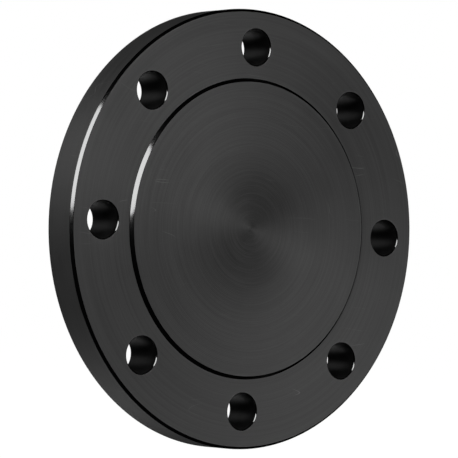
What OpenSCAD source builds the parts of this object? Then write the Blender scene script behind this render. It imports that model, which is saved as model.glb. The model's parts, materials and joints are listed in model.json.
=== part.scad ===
// Blind flange: one solid steel disc that closes the end of a pipe.
// It stands upright. Y is the flange's axis, the raised face looks along -Y, and +Z is up,
// with a bolt hole at the top. The origin is the centre of the raised face.

/* [Disc] */
// Outer diameter of the disc
flange_d = 230; // [222:0.1:400]
// Thickness from the raised face to the back face
flange_t = 24; // [10:0.1:80]

/* [Raised face] */
// Diameter of the raised face at its foot
raised_d = 157.2; // [40:0.1:168]
// Height of the raised face above the ring around it
raised_h = 1.7; // [0.5:0.1:4]
// How far the raised face's sloped edge runs in from its foot
raised_run = 1.8; // [0.2:0.1:6]

/* [Bolt holes] */
// Number of bolt holes
bolt_count = 8; // [4:4:12]
// Diameter of the circle that the bolt holes' centres lie on
bolt_circle_d = 190.5; // [180:0.1:202]
// Diameter of each bolt hole
bolt_hole_d = 19.05; // [10:0.05:24]
// Width and depth of the small chamfer on each bolt hole's two edges
hole_chamfer = 0.5; // [0.1:0.1:2]

/* [Rim] */
// Width and depth of the chamfer on the rim's front edge
front_chamfer = 1.4; // [0.2:0.1:3]
// Width and depth of the chamfer on the rim's back edge
back_chamfer = 3; // [0.2:0.1:4]

/* [Hidden] */

flange_r = flange_d / 2;
raised_r = raised_d / 2;
bolt_circle_r = bolt_circle_d / 2;
bolt_hole_r = bolt_hole_d / 2;
hole_mouth_r = bolt_hole_r + hole_chamfer;
// How far a hole's cutter stands out of the disc on each side
cut_past = 3;
$fn = 180;

// Half of the disc's section: x is the radius, y is the distance behind the raised face.
module disc_outline() {
    polygon([
        [0, 0],
        [raised_r - raised_run, 0],
        [raised_r, raised_h],
        [flange_r - front_chamfer, raised_h],
        [flange_r, raised_h + front_chamfer],
        [flange_r, flange_t - back_chamfer],
        [flange_r - back_chamfer, flange_t],
        [0, flange_t],
    ]);
}

// Half of a bolt hole's section, chamfered where it meets the ring and the back face.
module hole_outline() {
    polygon([
        [0, -cut_past],
        [hole_mouth_r, -cut_past],
        [hole_mouth_r, raised_h],
        [bolt_hole_r, raised_h + hole_chamfer],
        [bolt_hole_r, flange_t - hole_chamfer],
        [hole_mouth_r, flange_t],
        [hole_mouth_r, flange_t + cut_past],
        [0, flange_t + cut_past],
    ]);
}

// The bolt holes' cutters, evenly spaced on the bolt circle. One ends up at the top of the disc.
module bolt_holes() {
    for (i = [0 : bolt_count - 1])
        rotate([0, 0, 90 + i * 360 / bolt_count])
            translate([bolt_circle_r, 0, 0])
                rotate_extrude()
                    hole_outline();
}

// The whole flange is one piece, modelled lying on its raised face and then stood upright.
module blind_flange() {
    color("dimgray")
        rotate([-90, 0, 0])
            difference() {
                rotate_extrude()
                    disc_outline();
                bolt_holes();
            }
}

blind_flange();
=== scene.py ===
"""Blind flange: a turned and drilled steel disc on a pale studio floor."""

import json
import math

import bmesh
import bpy
from bpy.props import FloatProperty, FloatVectorProperty, IntProperty, PointerProperty
from mathutils import Matrix, Vector


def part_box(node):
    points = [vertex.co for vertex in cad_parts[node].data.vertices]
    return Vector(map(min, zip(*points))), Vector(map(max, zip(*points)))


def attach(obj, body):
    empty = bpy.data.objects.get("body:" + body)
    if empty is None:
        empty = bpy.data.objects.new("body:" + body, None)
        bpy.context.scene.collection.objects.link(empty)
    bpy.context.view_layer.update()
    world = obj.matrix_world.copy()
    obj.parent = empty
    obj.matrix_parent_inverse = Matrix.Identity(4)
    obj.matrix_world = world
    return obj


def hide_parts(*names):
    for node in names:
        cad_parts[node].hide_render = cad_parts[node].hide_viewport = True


bl_info = {
    "name": "Blind flange",
    "version": (1, 0, 0),
    "blender": (4, 5, 0),
    "location": "View3D > Sidebar > Flange",
    "description": "Builds a turned and drilled blind flange and the studio it stands in",
    "category": "Object",
}

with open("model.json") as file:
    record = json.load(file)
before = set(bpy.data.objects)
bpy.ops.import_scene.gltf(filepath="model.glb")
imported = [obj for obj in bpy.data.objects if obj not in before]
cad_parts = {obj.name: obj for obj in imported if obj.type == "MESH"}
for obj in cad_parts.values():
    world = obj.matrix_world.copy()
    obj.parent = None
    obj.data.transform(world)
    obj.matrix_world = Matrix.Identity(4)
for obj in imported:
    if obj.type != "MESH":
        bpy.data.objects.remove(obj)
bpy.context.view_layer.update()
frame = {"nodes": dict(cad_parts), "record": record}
NODE = "blind_flange"
UV_MAP = "OFBake"
MM = 0.001
# Two places closer than this are the same place
NEAR = 0.02 * MM
# Corners closer than this are welded into one
WELD = 0.005 * MM

# Flat steps from the inside to the outside of a drilled ring, along each side of a hole's share
SIDE_STEPS = 10
# Rows of faces between a bolt hole and the edges of its share of the ring
HOLE_ROWS = 5
# Rows of faces from the middle of the back out to its drilled ring
BACK_ROWS = 12

# How far a chamfer's middle stands proud, as a share of its width, and the flat steps across it
CHAMFER_BULGE = 0.012
CHAMFER_STEPS = 4

# An edge that turns by more than this is rounded off
SHARP_TURN = math.radians(20)
# How far a face looks along the axis, from 0 to 1: at least, if it is flat on, and at most, on a
# hole's wall and on the rim
FLAT_FACING = 0.999
WALL_FACING = 0.05
RIM_FACING = 0.001

# Gap between the strips that the surfaces are laid out in
STRIP_GAP = 2 * MM
# How much of the layout's width the surfaces take, and how much of its own share each bore takes
STRIP_FILL = 0.99
BORE_FILL = 0.88

# How far the camera stands from the flange, in times the disc's radius, and the place it looks at
CAMERA_DISTANCE = 13.19
CAMERA_AIM = (-0.0083, 0.0083, -0.0004)
# How bright the surroundings are behind the flange, and how bright they are as a light on it
WHITE_BEHIND = 1.0
WHITE_AROUND = 0.01
FLOOR_RADIUS = 8.0
# How far away the studio lights stand, in metres
LIGHT_DISTANCE = 2.0
# Each light's name, azimuth, elevation, width and height in degrees, and radiance beside white
LIGHTS = (
    ("Key", -57, 25.5, 40, 41, 12.2),
    ("Front fill", 15, 36, 40, 36, 2.4),
    ("Right low fill", 45, -17, 38, 38, 1.8),
    ("Left rear", -122, 28, 44, 50, 1.4),
    ("Rear low", -144, -62, 80, 50, 0.8),
    ("Right side", 78, 4, 26, 44, 0.35),
    ("Back", 163, -4, 26, 40, 3.6),
)

# The disc's material slots, in order
GASKET_FACE, TURNED_FACE, RIM, EDGE, BORE = range(5)


class Disc:
    """The disc's sizes in metres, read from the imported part."""

    def __init__(self):
        low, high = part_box(NODE)
        mounts = {m["name"]: m for m in frame["record"]["mounts"]}
        bolts = mounts["bolt_circle"]
        points = [v.co for v in frame["nodes"][NODE].data.vertices]
        self.radius = (high.x - low.x) / 2
        self.back_y = high.y
        self.ring_y = bolts["pos_m"][1]
        self.holes = bolts["dims"]["count"]
        self.bolt_circle_r = bolts["dims"]["pcd_mm"] / 2 * MM
        self.bore_r = bolts["dims"]["hole_r_mm"] * MM
        raised = self.radii(points, 0)
        ring = self.radii(points, self.ring_y)
        back = self.radii(points, self.back_y)
        self.raised_top_r = max(raised)
        self.raised_foot_r = min(ring)
        self.ring_out_r = max(ring)
        self.back_out_r = max(back)
        rim = [p.y for p in points if math.hypot(p.x, p.z) > self.radius - NEAR]
        self.rim_front_y = min(rim)
        self.rim_back_y = max(rim)
        top = Vector((0, self.ring_y, self.bolt_circle_r))
        # The corners round the top hole's mouth are the only ones on the ring this near to its axis
        reach = 1.3 * self.bore_r
        mouth = [(p - top).length for p in points if abs(p.y - self.ring_y) < NEAR]
        self.mouth_r = max(d for d in mouth if d < reach)

    @staticmethod
    def radii(points, depth):
        """How far from the axis the part's corners at this depth lie."""
        return [math.hypot(p.x, p.z) for p in points if abs(p.y - depth) < NEAR]


DISC = Disc()


class FlangeShape(bpy.types.PropertyGroup):
    """Sizes of the fine detail that is cut into the disc."""

    groove_pitch: FloatProperty(
        name="Groove pitch",
        description="Distance between two turned grooves on the gasket face",
        default=0.8 * MM, min=0.2 * MM, max=3 * MM, precision=5, subtype="DISTANCE", unit="LENGTH",
    )
    groove_depth: FloatProperty(
        name="Groove depth",
        description="Depth of each turned groove on the gasket face",
        default=0.04 * MM, min=0.0, max=0.3 * MM, precision=5, subtype="DISTANCE", unit="LENGTH",
    )
    edge_round: FloatProperty(
        name="Edge rounding",
        description="Width of the rounding on every machined edge",
        default=0.12 * MM, min=0.02 * MM, max=0.5 * MM, precision=5, subtype="DISTANCE", unit="LENGTH",
    )
    steps_per_hole: IntProperty(
        name="Steps per hole",
        description="Flat steps round the rim for each bolt hole's share of it",
        default=32, min=8, max=64,
    )


class FlangeFinish(bpy.types.PropertyGroup):
    """Colours and gloss of the disc's surfaces."""

    dark: FloatVectorProperty(
        name="Blackened steel", description="Colour of the turned surfaces where the blackening is thick",
        subtype="COLOR", default=(0.0105, 0.0105, 0.0105), min=0, max=1, size=3,
    )
    light: FloatVectorProperty(
        name="Rubbed steel", description="Colour of the turned surfaces where the blackening is thin",
        subtype="COLOR", default=(0.0275, 0.0275, 0.0275), min=0, max=1, size=3,
    )
    worn: FloatVectorProperty(
        name="Worn steel", description="Colour of scratches and of edges rubbed through the blackening",
        subtype="COLOR", default=(0.06, 0.06, 0.06), min=0, max=1, size=3,
    )
    # Painted shade: the rim's colours are darkened to this share, because the lights catch the rim more
    # than the faces
    rim_painted_shade: FloatProperty(
        name="Rim shade", description="How light the rim is beside the faces",
        default=0.5, min=0.1, max=1.0, subtype="FACTOR",
    )
    chamfer: FloatVectorProperty(
        name="Bare chamfer", description="Colour that the smooth bare metal of the chamfers reflects",
        subtype="COLOR", default=(0.055, 0.055, 0.055), min=0, max=1, size=3,
    )
    # Partly painted shade: the walls' own dark steel is darkened further, nearly to black, as the shade
    # inside the holes
    bore_black_and_painted_shade: FloatVectorProperty(
        name="Bore black", description="Colour of the bolt holes' walls",
        subtype="COLOR", default=(0.0008, 0.0008, 0.0008), min=0, max=1, size=3,
    )
    turned_roughness: FloatProperty(
        name="Turned roughness", description="Roughness of the faces and the rim",
        default=0.5, min=0.2, max=0.9, subtype="FACTOR",
    )
    edge_roughness: FloatProperty(
        name="Edge roughness", description="Roughness of the chamfers",
        default=0.12, min=0.02, max=0.6, subtype="FACTOR",
    )
    bore_roughness: FloatProperty(
        name="Bore roughness", description="Roughness of the bolt holes' walls",
        default=0.4, min=0.02, max=0.8, subtype="FACTOR",
    )


class FlangeStudio(bpy.types.PropertyGroup):
    """Camera and lights."""

    azimuth: FloatProperty(
        name="Azimuth", description="Camera's turn round the flange, from straight in front",
        default=math.radians(-39.55), subtype="ANGLE", unit="ROTATION",
    )
    elevation: FloatProperty(
        name="Elevation", description="Camera's height as an angle above the flange's centre",
        default=math.radians(-1.85), subtype="ANGLE", unit="ROTATION",
    )
    roll: FloatProperty(
        name="Roll", description="Camera's tilt round its own line of sight",
        default=math.radians(2.26), subtype="ANGLE", unit="ROTATION",
    )
    lens: FloatProperty(
        name="Lens", description="Camera's focal length in millimetres", default=228.3, min=20, max=400,
    )


def polar(radius, angle, depth):
    """A point at a radius and an angle from the top, at a depth behind the gasket face."""
    return Vector((radius * math.sin(angle), depth, radius * math.cos(angle)))


def line(bm, points):
    """A chain of straight edges."""
    verts = [bm.verts.new(p) for p in points]
    for pair in zip(verts, verts[1:]):
        bm.edges.new(pair)


def turn(bm, geom, centre, angle, steps, copies=False):
    """Turns geometry about a line parallel to the flange's axis, as a lathe does."""
    full = not copies and math.isclose(angle, math.tau)
    bmesh.ops.spin(
        bm, geom=geom, cent=centre, axis=(0, 1, 0), dvec=(0, 0, 0), angle=angle, steps=steps,
        use_merge=full, use_duplicate=copies,
    )


def gasket_face(shape, share):
    """One hole's share of the raised face: a line cut into even grooves, then turned."""
    bm = bmesh.new()
    line(bm, [polar(0, -share / 2, 0), polar(DISC.raised_top_r, -share / 2, 0)])
    grooves = round(DISC.raised_top_r / shape.groove_pitch)
    bmesh.ops.subdivide_edges(bm, edges=bm.edges[:], cuts=2 * grooves - 1)
    across = sorted(bm.verts, key=lambda v: v.co.length)
    bmesh.ops.translate(bm, verts=across[1::2], vec=(0, shape.groove_depth, 0))
    turn(bm, bm.verts[:] + bm.edges[:], (0, 0, 0), share, shape.steps_per_hole)
    return bm


def turned_outline(shape, share, outline):
    """One hole's share of a surface turned from an outline of (radius, depth) pairs."""
    bm = bmesh.new()
    line(bm, [polar(r, -share / 2, y) for r, y in outline])
    turn(bm, bm.verts[:] + bm.edges[:], (0, 0, 0), share, shape.steps_per_hole)
    return bm


def soft_chamfer(start, end):
    """(radius, depth) pairs along a chamfer whose middle stands a little proud, as if rubbed down."""
    start, end = Vector(start), Vector(end)
    along = end - start
    outwards = Vector((along.y, -along.x)) * CHAMFER_BULGE
    places = [i / CHAMFER_STEPS for i in range(CHAMFER_STEPS + 1)]
    return [tuple(start + along * t + outwards * 4 * t * (1 - t)) for t in places]


def drilled_ring(shape, share, depth, inner_r, outer_r):
    """One hole's share of a flat ring, with its faces running from the hole to the share's edges."""
    bm = bmesh.new()
    line(bm, [polar(inner_r, -share / 2, depth), polar(outer_r, -share / 2, depth)])
    bmesh.ops.subdivide_edges(bm, edges=bm.edges[:], cuts=SIDE_STEPS - 1)
    side = bmesh.ops.duplicate(bm, geom=bm.verts[:] + bm.edges[:])["geom"]
    far_side = [g for g in side if isinstance(g, bmesh.types.BMVert)]
    bmesh.ops.rotate(bm, verts=far_side, cent=(0, 0, 0), matrix=Matrix.Rotation(share, 3, "Y"))
    for radius in (inner_r, outer_r):
        corner = bm.verts.new(polar(radius, -share / 2, depth))
        turn(bm, [corner], (0, 0, 0), share, shape.steps_per_hole)
    centre = polar(DISC.bolt_circle_r, 0, depth)
    corner = bm.verts.new(centre + Vector((0, 0, DISC.mouth_r)))
    turn(bm, [corner], centre, math.tau, hole_steps(shape))
    bmesh.ops.remove_doubles(bm, verts=bm.verts, dist=WELD)
    bridge = bmesh.ops.bridge_loops(bm, edges=bm.edges[:])
    bmesh.ops.subdivide_edgering(
        bm, edges=bridge["edges"], cuts=HOLE_ROWS - 1, interp_mode="LINEAR", profile_shape="LINEAR",
    )
    return bm


def bore(shape):
    """A bolt hole's wall, with a small chamfer at each mouth."""
    bm = bmesh.new()
    chamfer = DISC.mouth_r - DISC.bore_r
    centre = polar(DISC.bolt_circle_r, 0, 0)
    outline = [
        (DISC.mouth_r, DISC.ring_y),
        (DISC.bore_r, DISC.ring_y + chamfer),
        (DISC.bore_r, DISC.back_y - chamfer),
        (DISC.mouth_r, DISC.back_y),
    ]
    line(bm, [centre + Vector((0, y, r)) for r, y in outline])
    turn(bm, bm.verts[:] + bm.edges[:], centre, math.tau, hole_steps(shape))
    return bm


def hole_steps(shape):
    """Flat steps round a bolt hole, one for each step round the share of the ring it is bridged to."""
    return 2 * (shape.steps_per_hole + SIDE_STEPS)


def joined(surfaces):
    """One mesh of several surfaces, welded where they meet."""
    whole = bmesh.new()
    for surface in surfaces:
        mesh = bpy.data.meshes.new("surface")
        surface.to_mesh(mesh)
        surface.free()
        whole.from_mesh(mesh)
        bpy.data.meshes.remove(mesh)
    bmesh.ops.remove_doubles(whole, verts=whole.verts, dist=WELD)
    return whole


def hole_of(point):
    """Number of the bolt hole nearest to a point, and the point's place from that hole's centre."""
    share = math.tau / DISC.holes
    number = round(math.atan2(point.x, point.z) / share) % DISC.holes
    centre = polar(DISC.bolt_circle_r, number * share, 0)
    return number, Vector((point.x - centre.x, 0, point.z - centre.z))


def surface_at(face, groove_depth):
    """Which of the disc's surfaces a face belongs to."""
    middle = face.calc_center_median()
    radius = math.hypot(middle.x, middle.z)
    if hole_of(middle)[1].length < DISC.mouth_r - WELD:
        return BORE if abs(face.normal.y) < WALL_FACING else EDGE
    if radius < DISC.raised_top_r and middle.y <= groove_depth:
        return GASKET_FACE
    if abs(face.normal.y) > FLAT_FACING:
        return TURNED_FACE
    return RIM if abs(face.normal.y) < RIM_FACING else EDGE


def unwrap(bm):
    """Lays the surfaces out flat: angle across, distance along the outline up, the bores in a strip."""
    uv = bm.loops.layers.uv.new(UV_MAP)
    length = 2 * DISC.radius + DISC.back_y
    bores_from = length + 2 * STRIP_GAP
    height = bores_from + DISC.back_y
    middle_y = (DISC.rim_front_y + DISC.rim_back_y) / 2
    for face in bm.faces:
        centre = face.calc_center_median()
        number, offset = hole_of(centre)
        in_bore = offset.length < DISC.mouth_r - WELD
        here = math.atan2(offset.x, offset.z) if in_bore else math.atan2(centre.x, centre.z)
        for loop in face.loops:
            p = loop.vert.co
            if in_bore:
                spot = Vector((p.x, p.z)) - Vector((centre.x - offset.x, centre.z - offset.z))
                along = bores_from + p.y
            else:
                spot = Vector((p.x, p.z))
                inward = DISC.radius - spot.length if centre.y > middle_y else spot.length - DISC.radius
                along = DISC.radius + p.y + inward
            there = math.atan2(spot.x, spot.y) if spot.length > NEAR else here
            angle = here + (there - here + math.pi) % math.tau - math.pi
            across = 0.5 + STRIP_FILL * angle / math.tau
            if in_bore:
                across = (number + 0.5 + BORE_FILL * (across - 0.5)) / DISC.holes
            loop[uv].uv = (across, along / height)


class FLANGE_OT_disc(bpy.types.Operator):
    """Turn, drill and finish the disc, and put it in place of the plain CAD node"""

    bl_idname = "flange.disc"
    bl_label = "Blind flange"
    bl_options = {"REGISTER", "UNDO"}

    def execute(self, context):
        shape = context.scene.flange_shape
        share = math.tau / DISC.holes
        rim = [
            *soft_chamfer((DISC.ring_out_r, DISC.ring_y), (DISC.radius, DISC.rim_front_y)),
            *soft_chamfer((DISC.radius, DISC.rim_back_y), (DISC.back_out_r, DISC.back_y)),
        ]
        slope = soft_chamfer((DISC.raised_top_r, 0), (DISC.raised_foot_r, DISC.ring_y))
        back = [(DISC.raised_foot_r * i / BACK_ROWS, DISC.back_y) for i in range(BACK_ROWS + 1)]
        bm = joined([
            gasket_face(shape, share),
            turned_outline(shape, share, slope),
            drilled_ring(shape, share, DISC.ring_y, DISC.raised_foot_r, DISC.ring_out_r),
            bore(shape),
            turned_outline(shape, share, rim),
            drilled_ring(shape, share, DISC.back_y, DISC.raised_foot_r, DISC.back_out_r),
            turned_outline(shape, share, back),
        ])
        everything = bm.verts[:] + bm.edges[:] + bm.faces[:]
        turn(bm, everything, (0, 0, 0), math.tau - share, DISC.holes - 1, copies=True)
        bmesh.ops.remove_doubles(bm, verts=bm.verts, dist=WELD)
        bmesh.ops.recalc_face_normals(bm, faces=bm.faces)
        sharp = [e for e in bm.edges if len(e.link_faces) == 2 and e.calc_face_angle() > SHARP_TURN]
        bmesh.ops.bevel(
            bm, geom=sharp, offset=shape.edge_round, offset_type="OFFSET", segments=3,
            profile=0.5, affect="EDGES", material=-1, clamp_overlap=True,
        )
        for face in bm.faces:
            face.smooth = True
            face.material_index = surface_at(face, shape.groove_depth)
        for edge in bm.edges:
            crest = all(abs(v.co.y) < WELD for v in edge.verts)
            faces = edge.link_faces
            if crest and all(f.material_index == GASKET_FACE for f in faces):
                radii = [math.hypot(v.co.x, v.co.z) for v in edge.verts]
                edge.smooth = abs(radii[0] - radii[1]) > NEAR
        unwrap(bm)
        open_edges = sum(not e.is_manifold for e in bm.edges)
        if open_edges:
            raise RuntimeError(f"the disc has {open_edges} open edges")
        mesh = bpy.data.meshes.new("flange_disc")
        bm.to_mesh(mesh)
        bm.free()
        finish, effects = context.scene.flange_finish, Effects()
        for make in (gasket_steel, face_steel, rim_steel, edge_steel, bore_steel):
            mesh.materials.append(make(finish, effects))
        disc = bpy.data.objects.new("flange_disc", mesh)
        context.scene.collection.objects.link(disc)
        weighted = disc.modifiers.new("Weighted normals", "WEIGHTED_NORMAL")
        weighted.keep_sharp = True
        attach(disc, "root")
        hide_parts(NODE)
        return {"FINISHED"}


def node(tree, kind, inputs=None, **settings):
    """A shader node. inputs gives each named socket a value, or another node's output to link from."""
    made = tree.nodes.new("ShaderNode" + kind)
    for name, value in settings.items():
        setattr(made, name, value)
    for name, value in (inputs or {}).items():
        if isinstance(value, bpy.types.NodeSocket):
            tree.links.new(value, made.inputs[name])
        else:
            made.inputs[name].default_value = value
    return made


def maths(tree, operation, *values):
    """The result of a Math node on one to three values or outputs."""
    return node(tree, "Math", dict(enumerate(values)), operation=operation).outputs[0]


def between(tree, value, low, high, to_low=0.0, to_high=1.0):
    """A value that goes smoothly from to_low to to_high as another goes from low to high."""
    inputs = {"Value": value, "From Min": low, "From Max": high, "To Min": to_low, "To Max": to_high}
    return node(tree, "MapRange", inputs, interpolation_type="SMOOTHSTEP").outputs["Result"]


def noise(tree, place, scale, detail=2.0, roughness=0.5):
    """A noise value from 0 to 1 at a place."""
    inputs = {"Vector": place, "Scale": scale, "Detail": detail, "Roughness": roughness}
    return node(tree, "TexNoise", inputs).outputs["Fac"]


def mixed(tree, factor, first, second):
    """A colour between two colours."""
    made = node(tree, "Mix", {"Factor": factor}, data_type="RGBA")
    for socket, colour in zip(made.inputs[6:8], (first, second)):
        if isinstance(colour, bpy.types.NodeSocket):
            tree.links.new(colour, socket)
        else:
            socket.default_value = (*colour, 1)
    return made.outputs[2]


def new_group(name, inputs, outputs):
    """An empty shader group, its inputs as sockets to link from and its outputs as sockets to link to."""
    tree = bpy.data.node_groups.new(name, "ShaderNodeTree")
    for title, kind in inputs.items():
        tree.interface.new_socket(title, in_out="INPUT", socket_type="NodeSocket" + kind)
    for title, kind in outputs.items():
        tree.interface.new_socket(title, in_out="OUTPUT", socket_type="NodeSocket" + kind)
    return tree, tree.nodes.new("NodeGroupInput").outputs, tree.nodes.new("NodeGroupOutput").inputs


def axis_group():
    """How far a place is from the flange's axis and how deep, in millimetres, and the way it lies."""
    tree, _, out = new_group("Round the axis", {}, {"Radius": "Float", "Depth": "Float", "Way": "Vector"})
    place = node(tree, "TexCoord").outputs["Object"]
    parts = node(tree, "SeparateXYZ", {"Vector": place}).outputs
    flat = node(tree, "CombineXYZ", {"X": parts["X"], "Z": parts["Z"]}).outputs["Vector"]
    radius = node(tree, "VectorMath", {0: flat}, operation="LENGTH").outputs["Value"]
    way = node(tree, "VectorMath", {0: flat}, operation="NORMALIZE").outputs["Vector"]
    tree.links.new(maths(tree, "DIVIDE", radius, MM), out["Radius"])
    tree.links.new(maths(tree, "DIVIDE", parts["Y"], MM), out["Depth"])
    tree.links.new(way, out["Way"])
    return tree


def hole_group():
    """How far a place is from the axis of the nearest bolt hole, in millimetres, and the way it lies."""
    tree, _, out = new_group("Round a bolt hole", {}, {"Distance": "Float", "Way": "Vector"})
    share = math.tau / DISC.holes
    place = node(tree, "TexCoord").outputs["Object"]
    parts = node(tree, "SeparateXYZ", {"Vector": place}).outputs
    flat = node(tree, "CombineXYZ", {"X": parts["X"], "Z": parts["Z"]}).outputs["Vector"]
    radius = node(tree, "VectorMath", {0: flat}, operation="LENGTH").outputs["Value"]
    angle = maths(tree, "ARCTAN2", parts["X"], parts["Z"])
    folded = maths(tree, "WRAP", angle, share / 2, -share / 2)
    aside = maths(tree, "MULTIPLY", radius, maths(tree, "SINE", folded))
    outwards = maths(tree, "MULTIPLY", radius, maths(tree, "COSINE", folded))
    outwards = maths(tree, "SUBTRACT", outwards, DISC.bolt_circle_r)
    local = node(tree, "CombineXYZ", {"X": aside, "Z": outwards}).outputs["Vector"]
    distance = node(tree, "VectorMath", {0: local}, operation="LENGTH").outputs["Value"]
    way = node(tree, "VectorMath", {0: local}, operation="NORMALIZE").outputs["Vector"]
    tree.links.new(maths(tree, "DIVIDE", distance, MM), out["Distance"])
    tree.links.new(way, out["Way"])
    return tree


def tool_group():
    """Marks that a cutting tool leaves round an axis, at a feed in millimetres for each turn."""
    tree, given, out = new_group(
        "Tool marks", {"Across": "Float", "Way": "Vector", "Feed": "Float"},
        {"Marks": "Float", "Bands": "Float"},
    )
    turns = maths(tree, "DIVIDE", given["Across"], given["Feed"])
    bent = node(tree, "VectorMath", {0: given["Way"], "Scale": 0.9}, operation="SCALE").outputs["Vector"]
    for title, turns_apart, detail in (("Marks", 1.0, 3.0), ("Bands", 5.0, 2.0)):
        along = maths(tree, "DIVIDE", turns, turns_apart)
        lane = node(tree, "CombineXYZ", {"Y": along}).outputs["Vector"]
        spot = node(tree, "VectorMath", {0: bent, 1: lane}, operation="ADD").outputs["Vector"]
        tree.links.new(between(tree, noise(tree, spot, scale=1.0, detail=detail), 0.25, 0.75), out[title])
    return tree


def handling_group():
    """Faint smudges, a fine grain and a few hair scratches from handling."""
    tree, _, out = new_group(
        "Handling marks", {}, {"Smudges": "Float", "Grain": "Float", "Scratches": "Float"},
    )
    place = node(tree, "TexCoord").outputs["Object"]
    clouds = noise(tree, place, scale=26.0, detail=4.0, roughness=0.6)
    tree.links.new(between(tree, clouds, 0.3, 0.7), out["Smudges"])
    tree.links.new(noise(tree, place, scale=1500.0), out["Grain"])
    hairs = []
    for turned, scale in ((0.5, 9.0), (2.1, 6.0)):
        mapping = {"Vector": place, "Rotation": (0.3, turned, 0.0), "Scale": (1.0, 1.0, 7.0)}
        long = node(tree, "Mapping", mapping).outputs["Vector"]
        waves = noise(tree, long, scale, detail=1.0)
        off = maths(tree, "ABSOLUTE", maths(tree, "SUBTRACT", waves, 0.5))
        hairs.append(between(tree, off, 0.0, 0.0012, 1.0, 0.0))
    here_and_there = between(tree, noise(tree, place, scale=45.0, detail=1.0), 0.56, 0.66)
    hair = maths(tree, "MULTIPLY", maths(tree, "MAXIMUM", *hairs), here_and_there)
    tree.links.new(hair, out["Scratches"])
    return tree


def wear_group():
    """Rubbing along an edge, fading out over a width, both in millimetres."""
    tree, given, out = new_group("Edge wear", {"Distance": "Float", "Width": "Float"}, {"Wear": "Float"})
    place = node(tree, "TexCoord").outputs["Object"]
    reach = maths(tree, "DIVIDE", maths(tree, "ABSOLUTE", given["Distance"]), given["Width"])
    patchy = between(tree, noise(tree, place, scale=110.0, detail=3.0, roughness=0.65), 0.42, 0.72)
    tree.links.new(maths(tree, "MULTIPLY", between(tree, reach, 0.0, 1.0, 1.0, 0.0), patchy), out["Wear"])
    return tree


class Effects:
    """The shader groups that the disc's materials share."""

    def __init__(self):
        self.axis = axis_group()
        self.hole = hole_group()
        self.tool = tool_group()
        self.handling = handling_group()
        self.wear = wear_group()

    def place(self, tree, title, inputs=None):
        """A group's outputs in a material, with its own values."""
        return node(tree, "Group", inputs, node_tree=getattr(self, title)).outputs


def new_steel(name, anisotropic=0.0):
    """A material whose highlights may be drawn out across the tool marks."""
    material = bpy.data.materials.new(name)
    material.use_nodes = True
    tree = material.node_tree
    shader = tree.nodes["Principled BSDF"]
    if anisotropic:
        tangent = node(tree, "Tangent", direction_type="UV_MAP", uv_map=UV_MAP)
        tree.links.new(tangent.outputs["Tangent"], shader.inputs["Tangent"])
        shader.inputs["Anisotropic"].default_value = anisotropic
        shader.inputs["Anisotropic Rotation"].default_value = 0.25
    return material, tree, shader


def weighed(tree, start, *parts):
    """A starting value plus each (output, weight) pair, each output counted from its middle, a half."""
    total = start
    for output, weight in parts:
        centred = maths(tree, "SUBTRACT", output, 0.5)
        total = maths(tree, "MULTIPLY_ADD", centred, weight, total)
    return total


def turned_steel(
    name, finish, effects, across, feed, cut, edge_distance, anisotropic, shade=1.0, fade=None,
):
    """Blackened steel with tool marks round the axis, worn along its edges.

    across names the axis group's output that the tool travelled along, feed and cut are its marks'
    spacing and depth in millimetres, edge_distance makes the distance to the nearest edge, shade is
    how far the colours are darkened as painted shade where the lights catch the surface more, and
    fade is a pair of radii, in millimetres, between which the finish grows to full.
    """
    material, tree, shader = new_steel(name, anisotropic)
    axis = effects.place(tree, "axis")
    tool = effects.place(tree, "tool", {"Across": axis[across], "Way": axis["Way"], "Feed": feed})
    hand = effects.place(tree, "handling")
    wear = effects.place(tree, "wear", {"Distance": edge_distance(tree, axis), "Width": 0.7})["Wear"]
    tone = weighed(tree, 0.5, (tool["Bands"], 0.12), (hand["Smudges"], 0.22), (tool["Marks"], 0.55))
    roughness = weighed(
        tree, finish.turned_roughness,
        (tool["Bands"], 0.045), (hand["Smudges"], 0.05), (hand["Grain"], 0.04),
    )
    if fade:
        fullness = between(tree, axis["Radius"], *fade)
        tone = maths(tree, "MULTIPLY_ADD", maths(tree, "SUBTRACT", fullness, 1.0), 0.5, tone)
        roughness = maths(tree, "MULTIPLY_ADD", maths(tree, "SUBTRACT", 1.0, fullness), 0.4, roughness)
    rubbed = maths(tree, "MAXIMUM", maths(tree, "MULTIPLY", wear, 0.5), hand["Scratches"])
    # Painted shade: shade darkens both colours, for the rim, which the lights catch more than the faces
    dark, light = (tuple(shade * part for part in colour) for colour in (finish.dark, finish.light))
    colour = mixed(tree, tone, dark, light)
    colour = mixed(tree, rubbed, colour, finish.worn)
    roughness = maths(tree, "MULTIPLY_ADD", rubbed, -0.12, roughness)
    height = weighed(tree, 0.0, (tool["Marks"], 1.0), (hand["Grain"], 0.25), (hand["Scratches"], -0.8))
    bump = node(tree, "Bump", {"Height": height, "Distance": cut * MM, "Strength": 1.0})
    tree.links.new(colour, shader.inputs["Base Color"])
    tree.links.new(roughness, shader.inputs["Roughness"])
    tree.links.new(bump.outputs["Normal"], shader.inputs["Normal"])
    return material


def gasket_steel(finish, effects):
    """The grooved gasket face, darker and rougher towards the middle."""
    def to_edge(tree, axis):
        return maths(tree, "SUBTRACT", axis["Radius"], DISC.raised_top_r / MM)

    return turned_steel(
        "Grooved gasket face", finish, effects, across="Radius", feed=0.8, cut=0.003,
        edge_distance=to_edge, anisotropic=0.6, fade=(4.0, 54.0),
    )


def face_steel(finish, effects):
    """The ring round the raised face, and the back."""
    def to_edge(tree, axis):
        hole = effects.place(tree, "hole")
        near = maths(tree, "SUBTRACT", hole["Distance"], DISC.mouth_r / MM)
        for radius in (DISC.raised_foot_r, DISC.ring_out_r):
            off = maths(tree, "ABSOLUTE", maths(tree, "SUBTRACT", axis["Radius"], radius / MM))
            near = maths(tree, "MINIMUM", near, off)
        return near

    return turned_steel(
        "Turned face", finish, effects, across="Radius", feed=0.9, cut=0.006,
        edge_distance=to_edge, anisotropic=0.6,
    )


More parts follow.
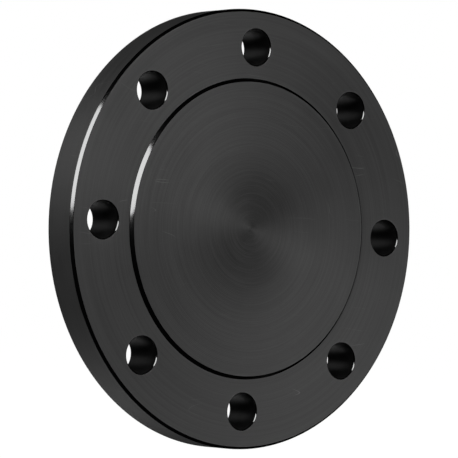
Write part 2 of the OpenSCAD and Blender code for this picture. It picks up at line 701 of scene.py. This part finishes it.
def rim_steel(finish, effects):
    """The rim, turned with a finer feed along the axis."""
    def to_edge(tree, axis):
        front = maths(tree, "SUBTRACT", axis["Depth"], DISC.rim_front_y / MM)
        back = maths(tree, "SUBTRACT", DISC.rim_back_y / MM, axis["Depth"])
        return maths(tree, "MINIMUM", front, back)

    # The rim's colours are darkened by its painted shade
    return turned_steel(
        "Turned rim", finish, effects, across="Depth", feed=0.35, cut=0.003,
        edge_distance=to_edge, anisotropic=0.3, shade=finish.rim_painted_shade,
    )


def edge_steel(finish, effects):
    """The smooth chamfers, rubbed to a gloss."""
    material, tree, shader = new_steel("Gloss chamfer")
    axis = effects.place(tree, "axis")
    across = maths(tree, "ADD", axis["Radius"], axis["Depth"])
    tool = effects.place(tree, "tool", {"Across": across, "Way": axis["Way"], "Feed": 0.25})
    hand = effects.place(tree, "handling")
    rubbed = maths(tree, "MULTIPLY", hand["Scratches"], 0.6)
    roughness = weighed(tree, finish.edge_roughness, (hand["Smudges"], 0.05), (tool["Marks"], 0.03))
    height = weighed(tree, 0.0, (tool["Marks"], 1.0), (hand["Grain"], 0.3))
    bump = node(tree, "Bump", {"Height": height, "Distance": 0.0006 * MM, "Strength": 1.0})
    shader.inputs["Metallic"].default_value = 1.0
    # Seen nearly edge on, the blackened chamfers stay darker than bare metal would
    shader.inputs["Specular Tint"].default_value = (0.2, 0.2, 0.2, 1)
    tree.links.new(mixed(tree, rubbed, finish.chamfer, finish.worn), shader.inputs["Base Color"])
    tree.links.new(roughness, shader.inputs["Roughness"])
    tree.links.new(bump.outputs["Normal"], shader.inputs["Normal"])
    return material


def bore_steel(finish, effects):
    """The drilled walls of the bolt holes, ringed by the drill."""
    material, tree, shader = new_steel("Drilled bore")
    axis = effects.place(tree, "axis")
    hole = effects.place(tree, "hole")
    tool = effects.place(tree, "tool", {"Across": axis["Depth"], "Way": hole["Way"], "Feed": 0.45})
    hand = effects.place(tree, "handling")
    roughness = weighed(
        tree, finish.bore_roughness,
        (tool["Bands"], 0.08), (tool["Marks"], 0.08), (hand["Smudges"], 0.05),
    )
    height = weighed(tree, 0.0, (tool["Marks"], 1.0), (tool["Bands"], 1.5), (hand["Grain"], 0.3))
    bump = node(tree, "Bump", {"Height": height, "Distance": 0.004 * MM, "Strength": 1.0})
    worn = maths(tree, "MULTIPLY", maths(tree, "MULTIPLY", tool["Marks"], hand["Smudges"]), 0.03)
    shader.inputs["Specular IOR Level"].default_value = 0.2
    # The near-black wall colour is partly the steel's own and partly painted shade inside the holes
    tree.links.new(mixed(tree, worn, finish.bore_black_and_painted_shade, finish.worn), shader.inputs["Base Color"])
    tree.links.new(roughness, shader.inputs["Roughness"])
    tree.links.new(bump.outputs["Normal"], shader.inputs["Normal"])
    return material


def towards(azimuth, elevation, distance):
    """A place at an azimuth and elevation, in degrees, seen from the flange's centre."""
    a, e = math.radians(azimuth), math.radians(elevation)
    return Vector((math.sin(a) * math.cos(e), -math.cos(a) * math.cos(e), math.sin(e))) * distance


def softbox(name, azimuth, elevation, width, height, radiance):
    """A soft oval light that faces the flange. width and height are the angles it fills, in degrees."""
    lamp = bpy.data.lights.new(name, "AREA")
    lamp.shape = "ELLIPSE"
    lamp.size = 2 * LIGHT_DISTANCE * math.tan(math.radians(width / 2))
    lamp.size_y = 2 * LIGHT_DISTANCE * math.tan(math.radians(height / 2))
    area = lamp.size * lamp.size_y * math.pi / 4
    lamp.energy = radiance * math.pi * area
    light = bpy.data.objects.new(name, lamp)
    light.location = towards(azimuth, elevation, LIGHT_DISTANCE)
    light.rotation_euler = light.location.to_track_quat("Z", "Y").to_euler()
    light.visible_camera = False
    bpy.context.scene.collection.objects.link(light)


def white_surroundings(scene):
    """A white world behind the flange that hardly lights it."""
    world = bpy.data.worlds.new("Studio")
    scene.world = world
    world.use_nodes = True
    tree = world.node_tree
    background = tree.nodes["Background"]
    seen = node(tree, "LightPath").outputs["Is Camera Ray"]
    inputs = {"Factor": seen, "A": WHITE_AROUND, "B": WHITE_BEHIND}
    strength = node(tree, "Mix", inputs, data_type="FLOAT")
    tree.links.new(strength.outputs["Result"], background.inputs["Strength"])
    background.inputs["Color"].default_value = (1, 1, 1, 1)


def pale_floor(scene):
    """A round white floor under the flange that casts no light or reflection on it."""
    bm = bmesh.new()
    bmesh.ops.create_circle(bm, cap_ends=True, segments=64, radius=FLOOR_RADIUS)
    bmesh.ops.translate(bm, verts=bm.verts, vec=(0, 0, -DISC.radius))
    mesh = bpy.data.meshes.new("floor")
    bm.to_mesh(mesh)
    bm.free()
    floor = bpy.data.objects.new("floor", mesh)
    scene.collection.objects.link(floor)
    material = bpy.data.materials.new("Pale floor")
    material.use_nodes = True
    tree = material.node_tree
    shader = tree.nodes["Principled BSDF"]
    shader.inputs["Base Color"].default_value = (0.02, 0.02, 0.02, 1)
    shader.inputs["Roughness"].default_value = 1.0
    shader.inputs["Specular IOR Level"].default_value = 0.0
    shader.inputs["Emission Color"].default_value = (1, 1, 1, 1)
    seen = node(tree, "LightPath").outputs["Is Camera Ray"]
    tree.links.new(seen, shader.inputs["Emission Strength"])
    mesh.materials.append(material)
    floor.visible_diffuse = False
    floor.visible_glossy = False
    floor.visible_transmission = False
    floor.visible_shadow = False


def studio_camera(scene, studio):
    """The camera, in front of the flange and to its left."""
    camera = bpy.data.cameras.new("Camera")
    camera.lens = studio.lens
    view = bpy.data.objects.new("Camera", camera)
    scene.collection.objects.link(view)
    distance = CAMERA_DISTANCE * DISC.radius
    view.location = towards(math.degrees(studio.azimuth), math.degrees(studio.elevation), distance)
    view.location.y += DISC.ring_y
    facing = (view.location - Vector(CAMERA_AIM)).to_track_quat("Z", "Y").to_matrix()
    facing @= Matrix.Rotation(studio.roll, 3, "Z")
    view.rotation_euler = facing.to_euler()
    scene.camera = view


class FLANGE_OT_studio(bpy.types.Operator):
    """Set up the floor, the white surroundings, the lights and the camera"""

    bl_idname = "flange.studio"
    bl_label = "Studio"
    bl_options = {"REGISTER", "UNDO"}

    def execute(self, context):
        scene = context.scene
        white_surroundings(scene)
        pale_floor(scene)
        for light in LIGHTS:
            softbox(*light)
        scene.view_settings.view_transform = "Standard"
        studio_camera(scene, scene.flange_studio)
        return {"FINISHED"}


class FLANGE_PT_panel(bpy.types.Panel):
    """Builds the flange and its studio"""

    bl_idname = "FLANGE_PT_panel"
    bl_label = "Blind flange"
    bl_space_type = "VIEW_3D"
    bl_region_type = "UI"
    bl_category = "Flange"

    def draw(self, context):
        scene = context.scene
        for group in (scene.flange_shape, scene.flange_finish, scene.flange_studio):
            for name in group.__annotations__:
                self.layout.prop(group, name)
        self.layout.operator(FLANGE_OT_disc.bl_idname)
        self.layout.operator(FLANGE_OT_studio.bl_idname)


CLASSES = (FlangeShape, FlangeFinish, FlangeStudio, FLANGE_OT_disc, FLANGE_OT_studio, FLANGE_PT_panel)


def register():
    for each in CLASSES:
        bpy.utils.register_class(each)
    bpy.types.Scene.flange_shape = PointerProperty(type=FlangeShape)
    bpy.types.Scene.flange_finish = PointerProperty(type=FlangeFinish)
    bpy.types.Scene.flange_studio = PointerProperty(type=FlangeStudio)


def unregister():
    del bpy.types.Scene.flange_shape
    del bpy.types.Scene.flange_finish
    del bpy.types.Scene.flange_studio
    for each in reversed(CLASSES):
        bpy.utils.unregister_class(each)


def main():
    register()
    bpy.ops.flange.disc()
    bpy.ops.flange.studio()


if __name__ == "__main__":
    main()
